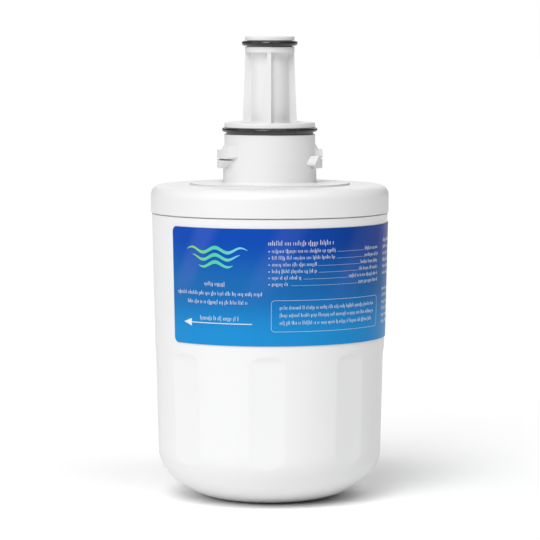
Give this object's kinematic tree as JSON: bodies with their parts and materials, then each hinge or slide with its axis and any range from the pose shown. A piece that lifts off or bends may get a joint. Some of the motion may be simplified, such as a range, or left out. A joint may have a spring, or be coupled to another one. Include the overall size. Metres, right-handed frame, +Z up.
{
  "type": "fridge water filter cartridge",
  "caption": "Twist-lock fridge water filter: white moulded cup with grip flats and wrap label, welded lid, neck with bayonet lugs and a ribbed outlet plug with rubber seals.",
  "frame": {"origin": "middle of the base, on the surface that the cartridge stands on", "axes": "+Z up along the cartridge's axis towards the outlet plug, -Y towards the viewer of the picture"},
  "size_m": [0.084, 0.084, 0.1629],
  "materials": {
    "housing_plastic": "white moulded polypropylene, satin",
    "connector_plastic": "white moulded polypropylene, satin",
    "seal_rubber": "black moulded rubber, lightly greased",
    "cap_plastic": "natural white moulded polypropylene",
    "pressed_carbon": "pressed activated carbon, grainy and matt",
    "fleece": "white non-woven fleece",
    "label_film": "printed film in blue, semi-gloss"
  },
  "bodies": {
    "root": {"housing_body": "housing_plastic", "housing_lid": "housing_plastic", "connector_neck": "connector_plastic", "neck_o_ring": "seal_rubber", "outlet_o_ring": "seal_rubber", "spigot_o_ring": "seal_rubber", "upper_end_cap": "cap_plastic", "lower_end_cap": "cap_plastic", "carbon_block": "pressed_carbon", "fleece_wrap": "fleece", "label": "label_film"}
  },
  "joints": []
}
